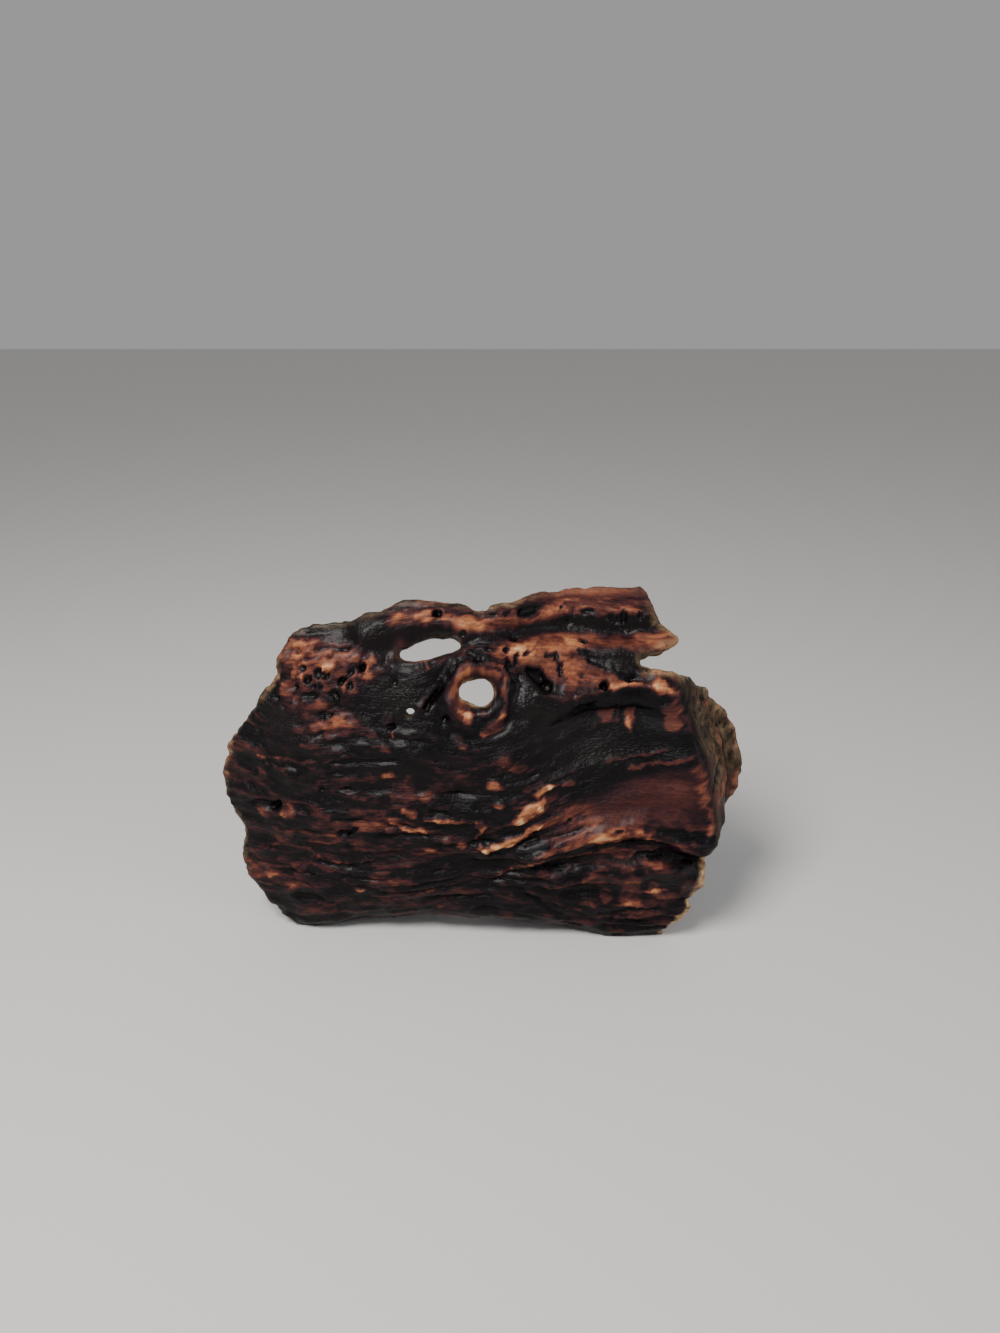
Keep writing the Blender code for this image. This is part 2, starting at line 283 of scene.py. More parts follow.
# Patterns in the wood: the size of one fleck along the grain, across it and through the wall, in millimetres.
# Worn skin comes off in flecks of about 9 by 3 mm, and growth lines are about 1 mm apart.
WORN_SKIN = (9.0, 3.2, 6.0)
GROWTH_LINES = (14.0, 0.9, 3.0)
SPECKS = (2.2, 1.5, 1.5)
CRUMBS = (5.0, 2.4, 2.4)

# The line on the flank where the painted shade under the ledge ends and the brown starts below it
FLANK_EDGE_PLACES = (26.0, 44.0, 66.0, 86.0, 106.0)
FLANK_EDGE_HEIGHTS = (82.0, 87.0, 96.0, 101.0, 108.0)

# Insect bores, pits and chipped-out hollows: (u, v, half length, half width, turn in degrees, depth)
PITS = (
    (62, 145, 2.2, 2.1, 0, 6.0), (52, 162, 1.2, 1.1, 0, 2.6), (27, 149, 5.2, 3.0, -38, 4.6),
    (32, 145, 3.0, 2.6, 0, 4.2), (22, 152, 2.2, 1.6, 0, 2.4), (10, 162, 1.7, 1.3, 0, 2.4),
    (15, 157, 1.1, 3.6, 8, 2.4), (11, 155, 1.3, 4.4, 20, 3.0), (14, 149, 1.2, 2.4, 10, 2.4),
    (14, 167, 2.6, 1.5, 10, 1.6), (20, 159, 2.4, 1.0, 10, 1.8), (17, 150, 1.1, 1.6, 0, 2.0),
    (-4, 158, 1.8, 1.4, 0, 2.6), (-8, 162, 1.8, 1.0, 20, 1.8), (1, 163, 1.5, 1.0, 0, 1.6),
    (73, 172, 2.3, 2.1, 0, 3.6), (81, 172, 1.5, 1.3, 0, 2.6), (54, 174, 4.0, 1.1, -6, 2.2),
    (67, 171, 3.8, 1.1, -10, 2.2), (88, 170, 1.3, 1.1, 0, 1.8), (44, 171, 2.2, 0.9, 5, 1.6),
    (38, 176, 1.4, 1.0, 0, 1.4), (20, 178, 5.6, 2.6, 4, 1.7), (9, 179, 1.6, 1.3, 0, 1.6),
    (73, 168.5, 1.5, 1.2, 0, 1.8), (-24, 178.5, 2.4, 1.9, 0, 3.4), (-11, 170, 1.6, 1.1, 40, 1.6),
    (-20, 131, 1.6, 1.2, 0, 2.4), (-46, 148, 1.6, 1.4, 0, 2.2), (-48, 127, 2.2, 1.5, 0, 2.6),
    (-114, 80, 4.4, 1.5, 36, 3.0), (-74, 70, 3.6, 2.0, 6, 3.4), (-69, 72, 2.6, 1.4, 40, 2.4),
    (-86, 93, 1.3, 1.1, 0, 1.8), (-92, 148, 2.2, 1.8, 0, 2.8), (-86, 151, 3.0, 2.0, 20, 2.6),
    (-82, 150, 1.5, 1.3, 0, 2.8), (-63, 154, 2.6, 1.6, 30, 2.4), (-74, 148, 2.4, 1.6, 50, 2.6),
    (-69, 146, 1.8, 2.4, 0, 2.4), (-78, 142, 2.2, 1.5, 0, 2.4), (-94, 153, 2.2, 1.3, 0, 2.0),
    (-90, 141, 4.4, 1.7, 4, 1.8), (-76, 140, 1.5, 1.2, 0, 2.0), (-69, 152, 1.6, 1.3, 0, 2.0),
    (-72, 162, 2.2, 1.0, 10, 1.6), (-84, 145, 1.6, 1.1, 30, 1.8), (-98, 144, 1.4, 1.1, 0, 1.8),
    (-80, 132, 1.6, 1.3, 0, 1.8), (118, 134, 2.4, 1.8, -30, 2.2), (128, 124, 1.8, 2.6, 0, 2.2),
    (44, 78, 0.9, 0.8, 0, 1.4), (70, 74, 2.4, 0.9, 0, 1.0),
)

# Raised lips and chips of wood: (u, v, half length, half width, turn in degrees, height, worn tint)
CHIPS = (
    (22, 84, 6.6, 3.6, 46, 1.5, 0.33), (28, 87, 2.2, 4.6, -12, 1.2, 0.31),
    (17, 80, 2.6, 2.2, 20, 1.0, 0.30), (45, 102, 13.0, 1.3, 14, 1.3, 0.36),
    (38, 96, 9.0, 1.5, 6, 1.4, 0.42), (28, 94, 5.0, 2.0, 20, 1.4, 0.46), (10, 109, 6.0, 2.6, 8, 1.4, 0.22),
    (4, 98, 5.0, 3.4, -8, 1.6, 0.34), (18, 106, 4.6, 2.0, 14, 1.2, 0.28), (7, 88, 2.8, 2.2, 20, 1.2, 0.34),
    (-50, 102, 4.2, 1.9, -5, 1.0, 0.30), (-39, 82, 4.6, 2.5, -16, 1.5, 0.34),
    (-28, 91, 5.4, 3.6, 0, 0.7, 0.16), (-106, 78, 5.4, 3.2, -6, 0.7, 0.30),
    (-124, 77, 3.4, 2.4, 0, 0.4, 0.16), (-68, 31, 3.4, 1.4, 0, 1.2, 0.36),
    (-50, 131, 2.8, 4.0, 10, 1.1, 0.34), (-47, 123, 1.2, 2.2, 0, 0.8, 0.44),
    (40, 120, 3.4, 3.2, 20, 1.0, 0.38), (35, 133, 2.8, 1.6, 0, 0.8, 0.24),
    (90, 145, 5.5, 2.8, -28, 1.2, 0.42), (-2, 76, 2.0, 3.4, 20, 1.4, 0.20),
    (-20, 66, 2.2, 2.2, 0, 1.0, 0.20), (-12, 64, 3.4, 2.0, 0, 1.0, 0.26), (-27, 59, 4.6, 2.0, 0, 0.6, 0.20),
    (-12, 120, 4.6, 2.2, -30, 1.0, 0.30), (-8, 131, 4.0, 2.6, -40, 1.2, 0.22),
    (-20, 126, 2.4, 1.8, 0, 0.9, 0.20), (-91, 105, 5.0, 1.8, 0, 0.6, 0.20),
    (-30, 155, 3.0, 1.2, 60, 0.8, 0.24), (-35, 154, 2.4, 1.2, 120, 0.7, 0.22),
    (90, 38, 8.0, 1.1, 0, 0.6, 0.34), (78, 29, 6.0, 1.5, 4, 0.5, 0.24), (73, 29, 2.0, 1.0, 0, 0.5, 0.20),
    (-5, 173, 6.5, 3.6, 12, 1.8, 0.12), (-48, 175, 5.0, 2.4, 24, 1.0, 0.22),
    (-30, 178, 7.0, 2.2, 0, 0.8, 0.20), (63, 132, 5.0, 5.6, -6, 0.4, 0.50),
    (76, 130, 3.4, 8.0, 0, 0.4, 0.50), (97, 132, 3.4, 8.0, 14, 0.4, 0.46),
    (-60, 156, 3.4, 2.6, 30, 1.4, 0.34), (-94, 149, 2.2, 1.6, 0, 1.2, 0.26),
    (-80, 154, 3.2, 2.0, 20, 1.2, 0.22), (-66, 158, 2.6, 1.8, -20, 1.0, 0.26),
    (-60, 150, 2.4, 2.0, 0, 1.0, 0.30), (-99, 150, 2.0, 3.0, 0, 0.8, 0.24),
    (-72, 145, 3.0, 2.2, 0, 1.2, 0.28), (-88, 148, 2.6, 2.0, 0, 1.0, 0.20),
    (-103, 142, 5.0, 4.0, 30, 0.5, 0.24), (-112, 36, 10.0, 5.0, -20, 0.4, 0.20),
    (-57, 76, 13.0, 4.4, 4, 0.5, 0.18), (-83, 66, 8.0, 3.6, -4, 0.7, 0.20),
    (-44, 36, 9.0, 4.0, -6, 0.4, 0.12), (-60, 35, 7.0, 3.0, 0, 0.4, 0.08),
)

# Long thin forms: points (u, v), half width, height, which is negative for a cut, and the change of tint
STROKES = (
    (((32, 157), (35, 157), (38, 153), (40, 150)), 1.2, -2.4, -0.34),
    (((-24, 146), (-28, 141), (-31, 136)), 1.6, -3.2, -0.30),
    (((-26, 147), (-31, 141), (-34, 135)), 1.0, 0.8, 0.22),
    (((50, 158), (54, 156), (56, 154), (64, 152), (69, 150), (73, 148), (79, 148)), 1.3, -1.2, -0.40),
    (((28, 141), (45, 139), (53, 141), (60, 143), (70, 145), (84, 145), (94, 142)), 1.5, 1.2, 0.16),
    # The next cut, just under the ledge, is a real groove, and its dark tint is painted shade of the ledge
    (((46, 137), (54, 138), (60, 140), (70, 142), (84, 142), (93, 139)), 1.8, -1.4, -0.36),
    (((69, 141), (70, 127), (60, 125), (52, 121)), 0.9, 0.5, 0.26),
    (((74, 128), (77, 121), (80, 117)), 0.9, 0.4, 0.26),
    (((96, 142), (100, 136), (104, 126), (108, 114), (111, 100), (114, 86), (116, 70)), 1.3, 0.9, 0.22),
    (((-88, 125), (-80, 129), (-66, 129), (-59, 123), (-50, 116)), 2.6, 0.9, 0.17),
    (((-122, 106), (-100, 107), (-84, 108), (-66, 113)), 0.8, 0.6, 0.20),
    (((-120, 103), (-96, 104), (-80, 106)), 1.2, -1.0, -0.1),
    (((-30, 79), (-18, 79), (-4, 79)), 1.0, 1.2, 0.36), (((-48, 75), (-40, 73), (-31, 72)), 1.3, 1.0, 0.30),
    (((-31, 76), (-18, 76), (-6, 76)), 1.1, -1.4, -0.16), (((0, 76), (-4, 68), (1, 60)), 1.1, 1.4, 0.24),
    (((0, 61), (12, 67), (22, 71), (28, 76)), 1.9, 1.7, 0.40),
    (((4, 58), (16, 63), (28, 69)), 1.8, -1.4, -0.16),
    (((-91, 52), (-80, 49), (-68, 50), (-57, 54)), 1.0, 1.0, 0.14),
    (((-90, 49), (-76, 46), (-60, 50)), 1.4, -0.9, -0.08),
    (((64, 107), (82, 110), (97, 115)), 0.9, 0.5, 0.50),
    (((76, 103), (95, 108), (106, 111)), 1.4, 0.4, 0.42),
    (((26, 60), (50, 68), (70, 71), (88, 73)), 1.8, 1.0, 0.18),
    (((36, 58), (60, 64), (82, 67), (94, 66)), 1.5, -1.5, -0.22),
    (((84, 73), (102, 73), (116, 69)), 1.7, -1.8, -0.24),
    (((84, 69), (100, 68), (114, 61)), 2.2, 1.0, 0.02), (((80, 60), (98, 59), (112, 54)), 1.8, -1.6, -0.20),
    (((60, 55), (84, 55), (104, 50)), 2.0, 0.8, 0.04),
    (((-6, 34), (5, 38), (18, 50), (27, 54), (40, 59), (56, 62)), 0.8, 0.9, 0.24),
    (((2, 33), (14, 42), (28, 49), (44, 54)), 1.6, -1.0, -0.08),
    (((40, 44), (60, 50), (84, 52)), 1.5, -1.0, -0.08),
    (((34, 36), (54, 42), (78, 45), (104, 42)), 1.4, 0.9, 0.06),
    (((40, 30), (62, 36), (90, 34)), 1.4, -1.0, -0.08),
    (((64, 21), (72, 24), (80, 27), (92, 26)), 1.2, -1.5, -0.10),
    (((58, 26), (70, 20), (84, 22), (98, 24)), 1.3, 0.8, 0.04),
    (((20, 28), (30, 20), (40, 14)), 2.2, -1.4, -0.08), (((28, 30), (38, 25), (46, 18)), 1.6, 1.2, 0.0),
    (((-58, 173), (-62, 168), (-69, 161)), 0.7, 0.4, 0.12),
    (((36, 168), (45, 170.5), (57, 168)), 0.7, -0.7, 0.16),
    (((-100, 163), (-86, 165), (-72, 164)), 1.2, 0.5, 0.14),
    (((-100, 158), (-85, 160), (-70, 160)), 1.2, 0.6, 0.15),
    (((-96, 155), (-84, 157), (-72, 157)), 1.0, 0.4, 0.10),
    (((106, 136), (118, 124), (126, 113), (127, 104), (119, 94)), 2.6, -2.0, -0.34),
    (((112, 139), (126, 126), (134, 112), (134, 98), (126, 88)), 1.8, 1.1, 0.10),
    (((132, 126), (140, 112), (142, 98), (138, 84)), 2.2, -1.6, -0.30),
    (((140, 120), (147, 108), (148, 92), (144, 80)), 1.6, 1.2, 0.12),
    (((10, 131), (6, 127), (0, 124)), 2.4, 1.4, 0.34), (((9, 148), (11, 140), (9, 132)), 1.5, 0.9, 0.30),
    (((-17, 141), (-13, 150), (-4, 154), (6, 151)), 1.6, 0.8, 0.16),
    (((-14, 135), (-6, 132), (2, 133)), 1.3, 0.8, 0.24),
    (((-19, 149), (-14, 157), (-4, 160), (8, 156)), 1.4, -1.2, -0.12),
)

# The tint of each area, over that of the dark body: (u, v, half length, half width, amount)
TINTS = (
    (-86, 148, 30, 20, 0.13), (-62, 156, 22, 12, 0.12), (-92, 160, 20, 7, 0.04), (-88, 172, 24, 4, -0.20),
    (-52, 140, 16, 14, -0.14), (-34, 144, 12, 12, -0.14), (-40, 126, 24, 8, -0.12),
    (-56, 166, 10, 8, -0.16), (-34, 178, 26, 7, 0.24), (-6, 174, 12, 6, 0.16), (-32, 171, 12, 2.5, -0.16),
    (14, 160, 20, 10, 0.22), (36, 152, 18, 9, 0.24), (54, 161, 50, 6, 0.34), (90, 162, 16, 5, 0.22),
    (46, 169.5, 54, 2.4, -0.34), (50, 175, 56, 4, 0.30), (56, 184, 42, 4, 0.46), (68, 155, 16, 5, -0.26),
    # The patch at (78, 138), -0.12, is painted shadow under the ledge
    (62, 148, 40, 5, 0.24), (78, 138, 32, 4, -0.12), (87, 128, 4, 10, -0.14), (56, 136, 12, 5, -0.14),
    (34, 126, 24, 16, -0.14), (88, 94, 28, 12, 0.29), (80, 80, 34, 8, 0.14), (52, 80, 26, 12, 0.16),
    (104, 94, 10, 26, 0.10), (80, 116, 34, 6, -0.04), (48, 96, 16, 8, -0.10), (66, 71, 30, 6, 0.14),
    (80, 56, 34, 12, 0.10), (70, 34, 40, 10, 0.09), (-62, 78, 46, 12, 0.01), (-98, 30, 26, 18, -0.06),
    (-2, 84, 14, 24, -0.10), (6, 48, 40, 14, -0.06), (22, 142, 9, 9, -0.22), (-118, 92, 24, 10, -0.06),
    (132, 104, 18, 42, 0.14), (-30, 112, 50, 8, -0.12), (-80, 122, 26, 8, 0.06), (-124, 40, 14, 12, 0.14),
    (-20, 108, 22, 4, 0.06), (0, 48, 30, 30, -0.02), (-90, 96, 30, 7, -0.07), (-58, 60, 40, 8, 0.03),
)

# Worn smooth and greyish: (u, v, half length, half width)
GREYS = (
    (-90, 172, 26, 5), (42, 169, 52, 2.8), (68, 155, 14, 4.5), (-44, 140, 16, 13), (-56, 166, 10, 8),
    (22, 144, 8, 12), (34, 126, 18, 13), (-34, 170, 12, 3), (-106, 126, 10, 8), (56, 110, 22, 10),
)

# Broken or crusted wood, dry and pale: (u, v, half length, half width, amount)
DRY = (
    (114, 58, 9, 12, 1.3), (111, 34, 9, 20, 1.8), (103, 12, 12, 14, 2.4), (-144, 108, 8, 14, 0.6),
    (-6, 142, 11, 10, 0.9), (98, 164, 10, 8, 1.0), (96, 150, 14, 5, 0.9), (128, 118, 26, 32, 0.55),
    (-74, 148, 20, 9, 0.35), (-138, 60, 8, 10, 0.4), (-112, 146, 8, 10, 0.5), (6, 184, 10, 5, 0.5),
)


def ease(t):
    """A smooth step from 0 to 1."""
    t = np.clip(t, 0.0, 1.0)
    return t * t * (3.0 - 2.0 * t)


def ramp(t, start, end):
    """A smooth step from 0 at start to 1 at end, which may be the lower of the two."""
    return ease((t - start) / (end - start))


def hinge(t, softness):
    """Zero before the hinge line and t after it, with a soft corner."""
    return 0.5 * (t + np.sqrt(t * t + softness * softness))


def lattice(i, j, seed):
    """A fixed pseudo-random value from -1 to 1 for each whole-numbered point."""
    h = (i * 374761393 + j * 668265263 + seed * 362437) & 0xFFFFFFFF
    h = ((h ^ (h >> 13)) * 1274126177) & 0xFFFFFFFF
    return ((h ^ (h >> 16)) & 0xFFFF) / 32767.5 - 1.0


def noise(u, v, seed):
    """Smooth noise from -1 to 1, with one bump for each unit."""
    i = np.floor(u).astype(np.int64)
    j = np.floor(v).astype(np.int64)
    a = ease(u - i)
    b = ease(v - j)
    low = lattice(i, j, seed) * (1 - a) + lattice(i + 1, j, seed) * a
    high = lattice(i, j + 1, seed) * (1 - a) + lattice(i + 1, j + 1, seed) * a
    return low * (1 - b) + high * b


def layers(u, v, table):
    """The sum of a table's layers of noise."""
    return sum(amount * noise(u / length, v / width, seed) for amount, length, width, seed in table)


def above(value, level):
    """0 up to a level, then rising to 1 where the value is 1."""
    return np.clip(value - level, 0.0, None) / (1.0 - level)


def distance_to_line(u, v, points):
    """Distance from each (u, v) to a line of points."""
    nearest = np.full(np.shape(u), 1e9)
    for (u0, v0), (u1, v1) in zip(points, points[1:]):
        du = u1 - u0
        dv = v1 - v0
        t = np.clip(((u - u0) * du + (v - v0) * dv) / (du * du + dv * dv), 0.0, 1.0)
        nearest = np.minimum(nearest, np.hypot(u - u0 - t * du, v - v0 - t * dv))
    return nearest


def turned_distance(u, v, spot):
    """Distance from a turned oval's middle, which is 1 on its edge."""
    along = np.cos(np.radians(spot[4]))
    up = np.sin(np.radians(spot[4]))
    du = u - spot[0]
    dv = v - spot[1]
    return np.hypot((du * along + dv * up) / spot[2], (dv * along - du * up) / spot[3])


def blot(u, v, spot):
    """1 in the middle of an oval area and fading out past its edge."""
    return np.exp(-(((u - spot[0]) / spot[2]) ** 2) - ((v - spot[1]) / spot[3]) ** 2)


def grain_line(u, v):
    """The grain line through (u, v): lines part round the knot and the slot, and sweep up to the right."""
    for (middle_u, middle_v), half_u, half_v in PARTINGS:
        away = ((u - middle_u) / half_u) ** 2 + ((v - middle_v) / half_v) ** 2
        v = v - (v - middle_v) / np.maximum(away, 1.0)
    v = v - SWEEP * ramp(u, *SWEEP_ALONG) * ramp(v, *SWEEP_FOOT) * ramp(v, *SWEEP_HEAD)
    return v + layers(u, v, GRAIN_WANDER)


def fold_line(v):
    """How far along the wall its right end is folded back, at each height."""
    return np.interp(v, FOLD_HEIGHTS, FOLD_PLACES)


def scoop(u, v):
    """How far the flank sinks back, deepest just under the ledge and fading to the fold and to the foot."""
    ledge = np.interp(u, LEDGE_PLACES, LEDGE_HEIGHTS)
    under_ledge = ease((ledge - v) / SCOOP_TOP_EDGE)
    across = ramp(u, *SCOOP_ALONG) * ease((fold_line(v) - u) / SCOOP_FOLD_EDGE)
    return SCOOP_DEPTH * under_ledge * ramp(v, *SCOOP_UP) * across


def wall_middle(u, v):
    """The bent wall's middle surface, as (x, y, z) in millimetres."""
    above_sole = v - WALL / 2
    z = WALL / 2 - WORN_OFF + hinge(above_sole, SOLE_CORNER)
    above_belly = np.clip(z - BELLY_HEIGHT, 0.0, None)
    below_belly = np.clip(BELLY_HEIGHT - z, 0.0, None)
    y = BELLY_Y + above_belly**2 / BEND_ABOVE_BELLY + below_belly**2 / BEND_BELOW_BELLY
    y = y + hinge(-above_sole, SOLE_CORNER)
    y = y - RIGHT_TOE * ramp(u, *RIGHT_TOE_ALONG) * ramp(z, *RIGHT_TOE_UP)
    y = y - LEFT_TOE * ramp(u, *LEFT_TOE_ALONG) * ramp(z, *LEFT_TOE_UP)
    y = y + SLAB_LEAN * ramp(u, *SLAB_LEAN_ALONG) * ramp(z, *SLAB_LEAN_UP)
    y = y + scoop(u, v) + WAVE * noise(u / WAVE_LENGTH, v / WAVE_WIDTH, 3)
    z = z + np.interp(u, ARCH_PLACES, ARCH_HEIGHTS) * ramp(z, *ARCH_UP)
    rolled = hinge(ROLL_START - u, ROLL_SOFTNESS)
    folded = hinge(u - fold_line(v), FOLD_SOFTNESS)
    x = u + rolled * (1.0 - np.cos(ROLL_ANGLE)) - folded * (1.0 - np.cos(FOLD_ANGLE))
    y = y + rolled * np.sin(ROLL_ANGLE) + folded * np.sin(FOLD_ANGLE)
    return np.stack([x, y, z], axis=-1)


def wall_normal(u, v):
    """The unit normal of the middle surface, which points to the front."""
    along = wall_middle(u + SLOPE_STEP, v) - wall_middle(u - SLOPE_STEP, v)
    up = wall_middle(u, v + SLOPE_STEP) - wall_middle(u, v - SLOPE_STEP)
    normal = np.cross(along, up)
    return normal / np.linalg.norm(normal, axis=-1, keepdims=True)


class Front:
    """What the front face is like at each place: how smooth, bored and turned back it is, and its grain."""

    def __init__(self, u, v):
        self.u = u
        self.v = v
        self.line = grain_line(u, v)
        self.ragged_u = u + layers(u, v, RAGGED_U)
        self.ragged_v = v + layers(u, v, RAGGED_V)
        self.bored_u = u + BORE_RAGGEDNESS * (self.ragged_u - u)
        self.bored_v = v + BORE_RAGGEDNESS * (self.ragged_v - v)
        self.turned = ramp(u - fold_line(v), *TURNED_PAST_FOLD) * ramp(v, *TURNED_UP)
        flank = ramp(u, *FLANK_ALONG) * ramp(v, *FLANK_FOOT) * ramp(v, *FLANK_HEAD)
        slab = ramp(v, *SLAB_UP) * ramp(u, *SLAB_ALONG)
        grey = sum(blot(u, v, spot) for spot in GREYS)
        self.grey = np.clip(grey, 0.0, 1.0) * (1.0 - self.turned)
        self.smooth = np.clip(flank + slab + 0.75 * self.grey, 0.0, 1.0) * (1.0 - self.turned)
        left = ramp(v, *BORED_LEFT_FOOT) * ramp(u, *BORED_LEFT_ALONG) * ramp(v, *BORED_LEFT_HEAD)
        knotty = blot(u, v, BORED_BY_KNOT)
        strip = blot(u, v, BORED_STRIP) * ramp(u, *BORED_STRIP_ALONG)
        across = u - fold_line(v) + layers(v, u, PLEAT_WANDER)
        self.pleat = (1.0 - np.abs(layers(across, v, PLEATS))) ** 2
        self.fluted = ramp(u, *FLUTED_ALONG) * ramp(v, *FLUTED_HEAD) * (1.0 - self.turned)
        edge = np.interp(u, FLANK_EDGE_PLACES, FLANK_EDGE_HEIGHTS)
        # Painted shade on the upper flank, where the hollow under the ledge is in shade
        painted_ledge_shade = ramp(v - edge, *LEDGE_SHADE_EDGE) * ramp(v, *LEDGE_SHADE_HEAD) * ramp(u, *LEDGE_SHADE_ALONG)
        self.painted_ledge_shade = painted_ledge_shade * (1.0 - self.turned)
        self.bored = np.clip(left + 0.7 * knotty + 0.8 * strip, 0.0, 1.0) * (1.0 - self.smooth)
        from_knot = np.hypot(u - KNOT_MIDDLE[0], v - KNOT_MIDDLE[1])
        self.from_knot = from_knot + layers(u, v, COLLAR_WANDER)
        body = (1.0 - self.smooth) * (1.0 - self.turned)
        long_patch = layers(u, self.line, LONG_PATCHES)
        wide_patch = layers(u, self.line, WIDE_PATCHES)
        patch = long_patch * (1.0 - self.bored) + wide_patch * self.bored
        self.worn_patch = ramp(patch, *WORN_LEVELS) * body


def broad_relief(front):
    """The front's main forms, which the frame's solid has too."""
    u = front.u
    v = front.v
    height = layers(u, v, SWELLS)
    for points, half_width, rise in RIDGES:
        height = height + rise * ease(1.0 - distance_to_line(u, v, points) / (FADE * half_width))
    collar = ease(1.0 - np.abs(front.from_knot - COLLAR_RADIUS) / (FADE * COLLAR_HALF_WIDTH))
    return height + COLLAR_HEIGHT * collar * (0.85 + layers(u, v, COLLAR_LUMPS))


def fine_relief(front):
    """The front's fine forms: fibres, worn hollows, cracks along the grain, bores and lifted chips."""
    u = front.u
    line = front.line
    rough = (1.0 - 0.92 * front.smooth) * (1.0 - front.turned)
    height = rough * layers(u, line, FIBRES)
    torn = 1.0 - np.abs(layers(u, line, TEARS))
    height = height + rough * (1.0 - 0.5 * front.bored) * (torn * torn - 0.55)
    height = height + front.smooth * layers(u, line, SMOOTH_WAVES)
    crack = above(layers(u, line, CRACKS), CRACK_LEVEL)
    height = height - rough * (1.0 - front.bored) * CRACK_DEPTH * ease(crack * 1.8)
    height = height + front.bored * layers(u, line, BORED_LUMPS)
    bore = above(layers(u, line, WORM_HOLES), WORM_LEVEL)
    height = height - front.bored * WORM_DEPTH * ease(bore * 2.2)
    height = height + WORN_HEIGHT * front.worn_patch
    height = height - MOAT_DEPTH * blot(front.from_knot, 0.0, SUNK_RING)
    pleated = PLEAT_HEIGHT * (front.pleat - 0.5) + layers(u, front.v, TURNED_LUMPS)
    height = height + front.turned * pleated
    flute = 1.0 - np.abs(layers(u, line, FLUTES))
    height = height + front.fluted * FLUTE_HEIGHT * (flute * flute - 0.5)
    for spot in PITS:
        height = height - spot[5] * ramp(turned_distance(front.bored_u, front.bored_v, spot), *PIT_SIDE)
    for spot in CHIPS:
        height = height + spot[5] * ramp(turned_distance(front.ragged_u, front.ragged_v, spot), *CHIP_SIDE)
    for points, half_width, rise, _ in STROKES:
        away = distance_to_line(front.ragged_u, front.ragged_v, points)
        height = height + rise * ramp(away / half_width, *STROKE_SIDE)
    return height


def hollow_relief(u, v):
    """The hollow's long worn waves and its coarse fibres."""
    height = layers(u, v, HOLLOW_WAVES)
    line = v + layers(u, v, HOLLOW_WANDER)
    height = height + layers(u, line, HOLLOW_FIBRES)
    torn = 1.0 - np.abs(layers(u, line, HOLLOW_TEARS))
    groove = above(layers(u, line, HOLLOW_GROOVES), GROOVE_LEVEL)
    return height + torn * torn - 0.5 - GROOVE_DEPTH * ease(groove * 1.6)


def broken_rim(u, v, w):
    """Shifts each point of the blank a little, so that its rims are ragged and stepped through the wall.

    The numbers are sizes in millimetres: waves of 9, and splinters of 3 to 4 that lean through the wall.
    """
    shift_u = 1.0 * noise(u / 9.0, v / 9.0, 41) + 0.8 * noise(u / 3.4 + w / 3.1, v / 3.4 - w / 2.7, 42)
    shift_v = 0.7 * noise(u / 9.0, v / 9.0, 43) + 0.7 * noise(u / 4.0 - w / 2.9, v / 3.2 + w / 3.3, 44)
    return u + shift_u, v + shift_v


def bend(u, v, w, front_height, back_height):
    """Where a point of the flat blank goes: w is its height above the blank's middle, to the front."""
    front = np.clip(w / WALL + 0.5, 0.0, 1.0)
    thickness = 1.0 + layers(u, v, UNEVENNESS) - TOP_THINNING * ramp(v, *TOP_THINNING_UP)
    height = w * thickness + front * front_height - (1.0 - front) * back_height
    return wall_middle(u, v) + wall_normal(u, v) * height[..., None]


def flat_blank():
    """The flat slab with its outline, slot, knot hole and pinhole, as an even mesh in millimetres."""
    curve = bpy.data.curves.new("blank", "CURVE")
    curve.dimensions = "2D"
    curve.fill_mode = "BOTH"
    curve.extrude = WALL / 2 - RIM_ROUND
    curve.bevel_depth = RIM_ROUND
    curve.bevel_resolution = 3
    curve.offset = -RIM_INSET
    curve.resolution_u = 6
    angles = np.linspace(0.0, 2.0 * np.pi, 8, endpoint=False)
    reach = PINHOLE_ACROSS / 2 - 0.8
    pin = [(PINHOLE[0] + np.cos(a) * reach, PINHOLE[1] + np.sin(a) * reach) for a in angles]
    for points in (OUTLINE, SLOT, KNOT_HOLE, pin):
        spline = curve.splines.new("BEZIER")
        spline.bezier_points.add(len(points) - 1)
        for place, (u, v) in zip(spline.bezier_points, points):
            place.co = (u, v, 0.0)
            place.handle_left_type = "AUTO"
            place.handle_right_type = "AUTO"
        spline.use_cyclic_u = True
    slab = bpy.data.objects.new("blank", curve)
    bpy.context.collection.objects.link(slab)
    bpy.context.view_layer.update()
    solid = bpy.data.meshes.new_from_object(slab.evaluated_get(bpy.context.evaluated_depsgraph_get()))
    bpy.data.objects.remove(slab)
    return remeshed(solid, MESH_SIZE)


def remeshed(mesh, size):
    """The mesh rebuilt from even faces of this size."""
    helper = bpy.data.objects.new("helper", mesh)
    bpy.context.collection.objects.link(helper)
    remesh = helper.modifiers.new("even", "REMESH")
    remesh.mode = "VOXEL"
    remesh.voxel_size = size
    bpy.context.view_layer.update()
    even = bpy.data.meshes.new_from_object(helper.evaluated_get(bpy.context.evaluated_depsgraph_get()))
    bpy.data.objects.remove(helper)
    return even


def vertex_array(mesh):
    """The mesh's points, one in each row."""
    places = np.empty(len(mesh.vertices) * 3)
    mesh.vertices.foreach_get("co", places)
    return places.reshape(-1, 3)


def store(mesh, name, values):
    """Keeps one number, or one vector, for each vertex, for the material to read."""
    kind = "FLOAT_VECTOR" if values.ndim == 2 else "FLOAT"
    attribute = mesh.attributes.new(name, kind, "POINT")
    attribute.data.foreach_set("vector" if values.ndim == 2 else "value", values.ravel())


